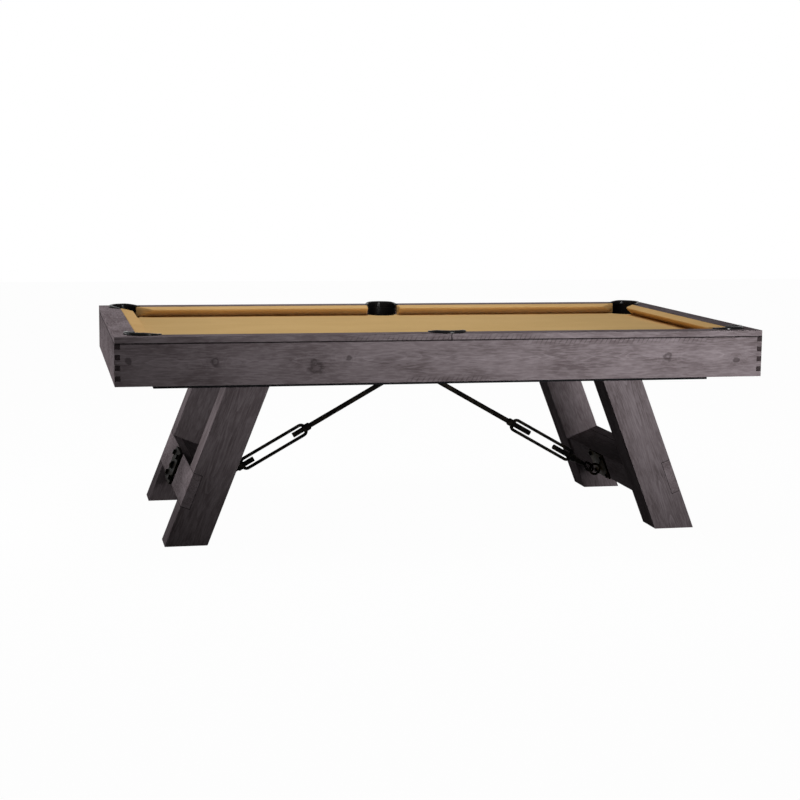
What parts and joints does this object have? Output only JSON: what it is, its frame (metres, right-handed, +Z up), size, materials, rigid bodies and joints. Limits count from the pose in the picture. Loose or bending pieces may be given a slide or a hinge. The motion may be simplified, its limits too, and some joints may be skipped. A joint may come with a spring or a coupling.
{
  "type": "pool table",
  "caption": "Slate bed pool table with camel cloth, drop pockets, finger-jointed dark wood apron and leaning trestle legs braced by turnbuckles",
  "frame": {"origin": "on the floor under the table's centre", "axes": "+X along the table to the right, +Y from the front long side to the back one, +Z up"},
  "size_m": [2.51, 1.3924, 0.8318],
  "materials": {
    "stained_wood": "knotty pine, dark grey-brown stain, satin",
    "black_wood": "painted matt black",
    "bed_cloth": "woven worsted cloth, camel",
    "cushion_cloth": "the same cloth stretched over rubber",
    "slate": "ground slate",
    "pocket_gloss": "glossy black moulding",
    "pocket_liner": "semi-gloss black moulding",
    "black_steel": "black oxide steel, satin"
  },
  "bodies": {
    "table": {"apron_front": "stained_wood", "apron_back": "stained_wood", "apron_left": "stained_wood", "apron_right": "stained_wood", "rail_left_end": "stained_wood", "cushion_left_end": "cushion_cloth", "rail_front_left": "stained_wood", "cushion_front_left": "cushion_cloth", "rail_back_left": "stained_wood", "cushion_back_left": "cushion_cloth", "rail_right_end": "stained_wood", "cushion_right_end": "cushion_cloth", "rail_front_right": "stained_wood", "cushion_front_right": "cushion_cloth", "rail_back_right": "stained_wood", "cushion_back_right": "cushion_cloth", "pocket_rim_front_middle": "pocket_gloss", "pocket_cup_front_middle": "pocket_liner", "pocket_rim_front_left": "pocket_gloss", "pocket_cup_front_left": "pocket_liner", "pocket_rim_front_right": "pocket_gloss", "pocket_cup_front_right": "pocket_liner", "pocket_rim_back_middle": "pocket_gloss", "pocket_cup_back_middle": "pocket_liner", "pocket_rim_back_left": "pocket_gloss", "pocket_cup_back_left": "pocket_liner", "pocket_rim_back_right": "pocket_gloss", "pocket_cup_back_right": "pocket_liner", "slate_left": "slate", "slate_centre": "slate", "slate_right": "slate", "bed_cloth": "bed_cloth", "frame_beam_front": "black_wood", "frame_beam_back": "black_wood", "frame_beam_left_end": "black_wood", "frame_beam_left_seam": "black_wood", "frame_beam_centre": "black_wood", "frame_beam_right_seam": "black_wood", "frame_beam_right_end": "black_wood", "leg_mount_board_left": "black_wood", "leg_front_left": "stained_wood", "leg_back_left": "stained_wood", "stretcher_core_left": "stained_wood", "stretcher_cover_left": "stained_wood", "clamp_plate_left": "black_steel", "eye_plate_left": "black_steel", "brace_upper_rod_left": "black_steel", "brace_lower_rod_left": "black_steel", "leg_mount_board_right": "black_wood", "leg_front_right": "stained_wood", "leg_back_right": "stained_wood", "stretcher_core_right": "stained_wood", "stretcher_cover_right": "stained_wood", "clamp_plate_right": "black_steel", "eye_plate_right": "black_steel", "brace_upper_rod_right": "black_steel", "brace_lower_rod_right": "black_steel", "centre_bracket": "black_steel"},
    "turnbuckle_left": {"turnbuckle_body_left": "black_steel"},
    "turnbuckle_right": {"turnbuckle_body_right": "black_steel"}
  },
  "joints": [
    {"name": "turnbuckle_turn_left", "type": "hinge", "parent": "table", "child": "turnbuckle_left", "pos_m": [-0.5774, 0, 0.28767], "axis": [-0.8692, 0, -0.4944], "continuous": true},
    {"name": "turnbuckle_turn_right", "type": "hinge", "parent": "table", "child": "turnbuckle_right", "pos_m": [0.5774, 0, 0.28767], "axis": [0.8692, 0, -0.4944], "continuous": true}
  ]
}
